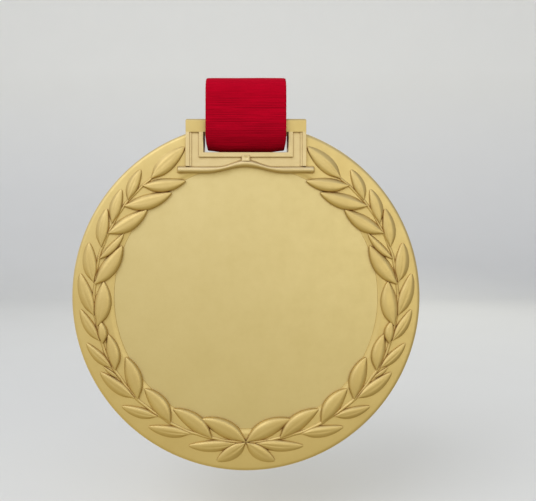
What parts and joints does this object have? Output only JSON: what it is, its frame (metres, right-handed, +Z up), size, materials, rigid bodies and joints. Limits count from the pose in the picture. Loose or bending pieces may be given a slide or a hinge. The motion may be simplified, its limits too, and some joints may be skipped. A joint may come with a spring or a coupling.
{
  "type": "award medal",
  "caption": "Round gold award medal with a laurel wreath round a plain field, a stepped slotted hanger and a short sewn ribbon loop.",
  "frame": {"origin": "centre of the flat back face of the disc", "axes": "+Z up through the hanger, +Y out of the back face, +X to the right of a viewer who looks at the front, which faces -Y"},
  "size_m": [0.07, 0.0087, 0.0792],
  "materials": {
    "satin_gold": "satin cast gold plating",
    "field_gold": "smooth satin gold plating",
    "relief_gold": "satin gold plating with darker recesses",
    "hanger_gold": "satin cast gold plating, a little paler",
    "brushed_gold": "brushed gold plating",
    "ribbon_cloth": "crimson grosgrain",
    "sewing_thread": "crimson polyester thread"
  },
  "bodies": {
    "ribbon_loop": {"ribbon": "ribbon_cloth", "ribbon_stitching": "sewing_thread"},
    "medal": {"medal_disc": "satin_gold", "centre_plate": "field_gold", "engraving_plate": "brushed_gold", "laurel_stem_left": "relief_gold", "laurel_stem_right": "relief_gold", "inner_leaves_left": "relief_gold", "inner_leaves_right": "relief_gold", "outer_leaves_left": "relief_gold", "outer_leaves_right": "relief_gold", "hanger_frame": "hanger_gold", "hanger_bar": "hanger_gold", "hanger_slot_trim": "hanger_gold", "hanger_foot": "hanger_gold", "hanger_keystone": "hanger_gold"}
  },
  "joints": [
    {"name": "medal_swing", "type": "hinge", "parent": "ribbon_loop", "child": "medal", "pos_m": [0, -0.0026, 0.0332], "axis": [1, 0, 0], "range_deg": [-85, 85]}
  ]
}
